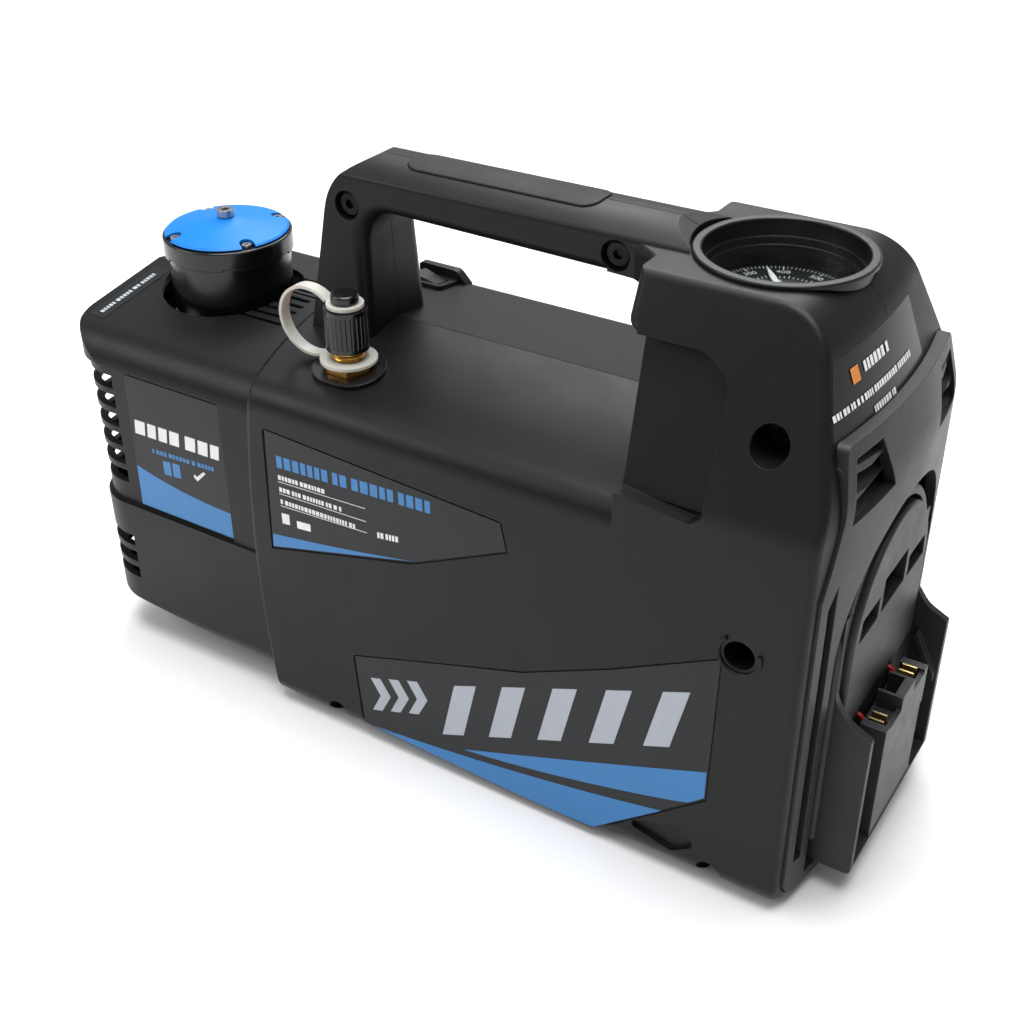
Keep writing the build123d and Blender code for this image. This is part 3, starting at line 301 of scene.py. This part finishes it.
# ---- labels on both sides of the shell ----
SIDE_FACE, SIDE_FILM, SIDE_INK = 59.9, 0.4, 0.42     # shell pocket's floor, film, print above it
BAND_FACE, BAND_FILM, BAND_INK = 55.2, 0.3, 0.32     # the same in the rear housing's band
FILM_GAP, INK, FINE_INK = 0.02, 0.05, 0.04           # glue line, thickness of broad and fine print
TOWER_INK = 0.3                                      # print above the tower's front
SPEC = [(-59.6, 126.7), (39.6, 121.2), (41.9, 111.0), (3.2, 92.5), (-61.6, 76.2)]
BRAND = [(-26.4, 38.9), (9.8, 50.6), (48.0, 62.6), (82.0, 78.5), (120.2, 98.7), (119.1, 39.7),
         (76.8, 4.3), (-23.9, 7.5)]
LOWER_SWOOSH = (sweep_curve([(-18.5, 7.6), (45.0, 13.5), (103.6, 26.4)])
                + sweep_curve([(77.2, 4.9), (40.0, 3.9), (-18.0, 7.5)]))
UPPER_SWOOSH = (sweep_curve([(22.9, 15.6), (66.0, 31.0), (118.8, 51.4)])
                + [(118.7, 40.0), (113.2, 35.2)] + sweep_curve([(108.0, 33.4), (62.0, 20.5), (23.2, 15.4)]))
SPEC_WEDGE = [(-60.9, 82.4)] + sweep_curve([(-60.9, 82.2), (-28.0, 86.6), (2.9, 92.9)]) + [(-61.4, 76.5)]


def make_side_labels(side):
    """Two films on the side of the shell: ratings at the rear, a broad design at the front."""
    face = side_wall(side, SIDE_FACE)
    tag = "near" if side < 0 else "far"
    plate = bmesh.new()
    slab(plate, SPEC, face, FILM_GAP, SIDE_FILM)
    slab(plate, BRAND, face, FILM_GAP, SIDE_FILM)
    piece(f"side_labels_{tag}", plate, film_grey, "pump_body")
    blue = bmesh.new()
    slab(blue, LOWER_SWOOSH, face, SIDE_INK, INK)
    slab(blue, UPPER_SWOOSH, face, SIDE_INK, INK)
    slab(blue, SPEC_WEDGE, face, SIDE_INK, INK)
    print_row(blue, (-55.4, 112.6), (12.0, 115.4), 4.9, (0, 1), face, SIDE_INK,
              (2.2, 3.4), 0.9)
    piece(f"side_label_blue_{tag}", blue, film_blue, "pump_body")
    silver = bmesh.new()
    for i in range(5):
        x = 13.0 + 20.6 * i
        low, high = 17.2 + 0.407 * (x - 10), 40.6 + 0.407 * (x - 10)
        slab(silver, [(x, low), (x + 9.5, low + 3.9), (x + 15.5, high + 6.3), (x + 6.0, high + 2.4)],
             face, SIDE_INK, INK)
    for i in range(3):
        x = -19.5 + 8.6 * i
        low = 12.6 + 0.35 * (x + 20)
        slab(silver, [(x, low + 3), (x + 4.6, low + 4.4), (x + 9.0, low + 13), (x + 4.6, low + 20),
                      (x, low + 18.6), (x + 4.2, low + 11.6)], face, SIDE_INK, INK)
    piece(f"side_label_silver_{tag}", silver, film_silver, "pump_body")
    white = bmesh.new()
    for i, right in enumerate((108.0, 102.6, 97.9)):
        left = (106.4, 101.3, 96.1)[i]
        slab(white, [(-55.6, left), (-16.2, right), (-16.2, right + 0.28), (-55.6, left + 0.28)],
             face, SIDE_INK, FINE_INK)
        print_row(white, (-55.4, left + 1.1), (-33.0 + 6 * i, left + 1.9), 1.9, (0, 1), face,
                  SIDE_INK, (0.8, 1.6), 0.4)
    slab(white, [(-55.6, 88.6), (-52.0, 88.9), (-52.0, 93.4), (-55.6, 93.1)], face, SIDE_INK, FINE_INK)
    slab(white, [(-48.6, 88.8), (-42.2, 89.4), (-42.2, 92.6), (-48.6, 92.0)], face, SIDE_INK, FINE_INK)
    print_row(white, (-11.6, 97.6), (-1.6, 98.9), 2.4, (0, 1), face, SIDE_INK, (0.9, 1.3), 0.4)
    piece(f"side_label_white_{tag}", white, white_print, "pump_body")


def make_band_labels(side):
    """Label in the band of the rear housing, with its blue wedge."""
    face = side_wall(side, BAND_FACE)
    tag = "near" if side < 0 else "far"
    plate = bmesh.new()
    slab(plate, [(-133.4, 126.6), (-85.2, 126.6), (-86.4, 68.0), (-135.0, 68.0)], face,
         FILM_GAP, BAND_FILM)
    piece(f"band_label_{tag}", plate, film_grey, "pump_body")
    blue = bmesh.new()
    slab(blue, [(-134.4, 86.6)] + sweep_curve([(-134.3, 86.4), (-112.0, 80.0), (-86.2, 79.6)])
         + [(-86.5, 68.2), (-134.9, 68.2)], face, BAND_INK, INK)
    print_row(blue, (-124.3, 95.0), (-92.2, 96.6), 1.9, (0, 1), face, BAND_INK, (1.0, 1.8), 0.5)
    print_row(blue, (-119.4, 86.8), (-105.6, 88.0), 6.2, (0, 1), face, BAND_INK, (3.2, 4.0), 1.0)
    piece(f"band_label_blue_{tag}", blue, film_blue, "pump_body")
    white = bmesh.new()
    print_row(white, (-132.2, 101.6), (-87.0, 102.4), 6.2, (0.12, 1), face, BAND_INK, (4.2, 5.4), 1.3)
    slab(white, [(-103.6, 90.8), (-101.8, 89.2), (-97.0, 94.0), (-98.0, 94.6), (-101.8, 91.2),
                 (-103.0, 92.0)], face, BAND_INK, INK)
    piece(f"band_label_white_{tag}", white, white_print, "pump_body")


def make_roof_label():
    """Narrow film along the rear edge of the housing's roof."""
    plate = bmesh.new()
    slab(plate, [(-160.6, -44.0), (-152.6, -44.0), (-152.6, -6.0), (-160.6, -6.0)],
         housing_roof, 0.03, 0.15)
    piece("roof_label", plate, film_grey, "pump_body")
    white = bmesh.new()
    print_row(white, (-157.6, -41.0), (-157.6, -10.0), 1.9, (1, 0), housing_roof, 0.18, (0.9, 1.8), 0.5)
    piece("roof_label_print", white, film_silver, "pump_body")


def make_tower_label():
    """Glossy strip that follows the bulging front of the tower."""
    strip = bmesh.new()
    bmesh.ops.create_grid(strip, x_segments=36, y_segments=6, size=0.5)
    for vert in strip.verts:
        up = vert.co.y + 0.5
        left = -47.2 + 10.6 * up
        vert.co = tower_front(left + (20.0 - left) * (vert.co.x + 0.5), 171.2 + 23.0 * up, 0.06)
    bmesh.ops.recalc_face_normals(strip, faces=strip.faces)
    bmesh.ops.solidify(strip, geom=strip.faces[:], thickness=0.16 * MM)
    piece("tower_label", strip, film_black, "pump_body", smooth=True)
    white = bmesh.new()
    print_row(white, (-22.0, 186.6), (-4.0, 186.6), 3.0, (0, 1), tower_front, TOWER_INK, (1.5, 2.2), 0.6)
    print_row(white, (-43.5, 179.6), (10.0, 179.6), 1.9, (0, 1), tower_front, TOWER_INK, (0.8, 1.6), 0.4)
    print_row(white, (-22.0, 174.6), (-6.0, 174.6), 1.9, (0, 1), tower_front, TOWER_INK, (0.8, 1.6), 0.4)
    piece("tower_label_print", white, white_print, "pump_body")
    amber = bmesh.new()
    slab(amber, [(-29.6, 185.6), (-25.2, 185.6), (-25.2, 190.0), (-29.6, 190.0)],
         tower_front, TOWER_INK, INK)
    piece("tower_label_mark", amber, film_amber, "pump_body")


# ---- gauge dial ----
DIAL_X, DIAL_Z = 104.5, 193.2
SCALE_START, SCALE_SWEEP, SCALE_FULL = 243.0, -250.0, 760.0


def dial_angle(value):
    """Direction of a scale value, in radians from +X."""
    return radians(SCALE_START + SCALE_SWEEP * value / SCALE_FULL)


def tick(bm, angle, r0, r1, wide):
    """Radial mark on the dial from radius r0 to r1."""
    turn = Matrix.Rotation(angle, 4, "Z")
    shape = bmesh.ops.create_cube(bm, size=1.0)["verts"]
    bmesh.ops.scale(bm, verts=shape, vec=Vector(((r1 - r0) * MM, wide * MM, 0.05 * MM)))
    bmesh.ops.translate(bm, verts=shape, vec=Vector(((r0 + r1) / 2, 0, 0.03)) * MM)
    bmesh.ops.transform(bm, matrix=Matrix.Translation(Vector((DIAL_X, 0, DIAL_Z)) * MM) @ turn, verts=shape)


def numeral(bm, text, angle, r, size):
    """Printed number with its head towards the rim of the dial."""
    curve = bpy.data.curves.new("numeral", "FONT")
    curve.body, curve.size, curve.extrude = text, size * MM, 0.025 * MM
    curve.align_x, curve.align_y = "CENTER", "CENTER"
    holder = bpy.data.objects.new("numeral", curve)
    mesh = bpy.data.meshes.new_from_object(holder)
    spot = Vector((DIAL_X + r * cos(angle), r * sin(angle), DIAL_Z + 0.04)) * MM
    mesh.transform(Matrix.Translation(spot) @ Matrix.Rotation(angle - pi / 2, 4, "Z"))
    bm.from_mesh(mesh)
    bpy.data.objects.remove(holder)
    bpy.data.curves.remove(curve)
    bpy.data.meshes.remove(mesh)


def make_dial_print():
    """Outer and inner scales with their numbers."""
    bm = bmesh.new()
    for i in range(77):
        value = 10 * i
        long = 10 if value % 100 == 0 else (5 if value % 50 == 0 else 0)
        tick(bm, dial_angle(value), 22.9 - (1.9 if long == 10 else 1.3 if long else 0.9), 23.4,
             0.42 if long == 10 else 0.24)
    for i in range(46):
        tick(bm, dial_angle(SCALE_FULL * i / 45), 14.2, 15.4 if i % 5 else 16.2, 0.3)
    for value in range(0, 701, 100):
        numeral(bm, str(value), dial_angle(value), 19.0, 3.1)
    for i in range(0, 31, 5):
        numeral(bm, str(i), dial_angle(SCALE_FULL * i / 30), 11.6, 2.5)
    piece("dial_print", bm, white_print, "pump_body")


# ---- brass thread under the port cap ----
PORT = (-38.5, -36.0)


def make_port_thread():
    """Turned ridges of the flare thread between the strap and the cap."""
    bm = bmesh.new()
    pitch = 1.27
    for i in range(3):
        z = 150.95 + pitch * i
        ridge = [(5.5, z), (5.95, z + 0.5), (5.95, z + 0.62), (5.5, z + 1.12)]
        verts = [bm.verts.new(Vector((PORT[0] + r, PORT[1], h)) * MM) for r, h in ridge]
        edges = [bm.edges.new((verts[k], verts[(k + 1) % 4])) for k in range(4)]
        bmesh.ops.spin(bm, geom=verts + edges, cent=Vector((PORT[0], PORT[1], 0)) * MM, axis=(0, 0, 1),
                       angle=2 * pi, steps=48, use_merge=True)
    bmesh.ops.remove_doubles(bm, verts=bm.verts, dist=1e-6)
    piece("port_thread", bm, brass, "pump_body", smooth=True)


def make_hole_ribs():
    """Open ring moulded round the middle side screw on each side."""
    for side, tag in ((-1, "near"), (1, "far")):
        bm = bmesh.new()
        centre = Vector((126.0, side * 60.45, 102.8)) * MM
        profile = [(6.3, -0.3), (6.3, 0.6), (6.7, 0.95), (7.3, 0.95), (7.7, 0.6), (7.7, -0.3)]
        verts = [bm.verts.new(centre + Vector((r, side * h, 0)) * MM) for r, h in profile]
        edges = [bm.edges.new((verts[k], verts[(k + 1) % 6])) for k in range(6)]
        bmesh.ops.rotate(bm, verts=bm.verts, cent=centre, matrix=Matrix.Rotation(radians(-20), 3, "Y"))
        bmesh.ops.spin(bm, geom=verts + edges, cent=centre, axis=(0, 1, 0), angle=radians(250), steps=40)
        bmesh.ops.holes_fill(bm, edges=bm.edges, sides=6)
        piece(f"screw_rib_{tag}", bm, shell_abs, "pump_body", smooth=True)


for wall in (-1, 1):
    make_side_labels(wall)
    make_band_labels(wall)
make_roof_label()
make_tower_label()
make_dial_print()
make_port_thread()
make_hole_ribs()


# ---- floor, light and camera ----
def make_floor():
    bm = bmesh.new()
    bmesh.ops.create_grid(bm, x_segments=1, y_segments=1, size=6.0)
    mesh = bpy.data.meshes.new("floor")
    bm.to_mesh(mesh)
    bm.free()
    mesh.materials.append(moulded("pale_floor", "#f0f0f1", "#ffffff", 0.7, 2.0, 0.01, wear_and_highlight=0.0,
                                  cloud=400.0))
    floor = bpy.data.objects.new("floor", mesh)
    bpy.context.collection.objects.link(floor)


def softbox(name, place, energy, size, aim=(0.0, 0.0, 0.1)):
    data = bpy.data.lights.new(name, "AREA")
    data.energy, data.size, data.shape = energy, size, "DISK"
    lamp = bpy.data.objects.new(name, data)
    bpy.context.collection.objects.link(lamp)
    lamp.location = place
    lamp.rotation_euler = (Vector(aim) - Vector(place)).to_track_quat("-Z", "Y").to_euler()


def make_light():
    world = bpy.data.worlds.new("studio")
    bpy.context.scene.world = world
    world.use_nodes = True
    world.node_tree.nodes["Background"].inputs["Color"].default_value = paint("#f4f6f8")
    world.node_tree.nodes["Background"].inputs["Strength"].default_value = 0.45
    softbox("softbox_back", (-0.35, 0.95, 1.25), 17.0, 1.1)
    softbox("softbox_top", (0.1, -0.1, 1.6), 30.0, 1.2)
    softbox("softbox_left", (-1.0, -0.8, 1.0), 8.0, 0.9)


CAMERA_MM = (252.046, -385.628, 374.89)
CAMERA_TURN, CAMERA_PITCH, CAMERA_ROLL = radians(32.56), radians(32.69), radians(-0.45)


def make_camera():
    forward = Vector((-sin(CAMERA_TURN) * cos(CAMERA_PITCH), cos(CAMERA_TURN) * cos(CAMERA_PITCH),
                      -sin(CAMERA_PITCH)))
    level = Vector((cos(CAMERA_TURN), sin(CAMERA_TURN), 0))
    rise = level.cross(forward)
    right = level * cos(CAMERA_ROLL) + rise * sin(CAMERA_ROLL)
    up = rise * cos(CAMERA_ROLL) - level * sin(CAMERA_ROLL)
    data = bpy.data.cameras.new("camera")
    data.sensor_width, data.lens, data.clip_start = 36.0, 50.24, 0.01
    camera = bpy.data.objects.new("camera", data)
    bpy.context.collection.objects.link(camera)
    turn = Matrix((right, up, -forward)).transposed().to_4x4()
    camera.matrix_world = Matrix.Translation(Vector(CAMERA_MM) * MM) @ turn
    bpy.context.scene.camera = camera


make_floor()
make_light()
make_camera()
bpy.context.scene.view_settings.view_transform = "Standard"
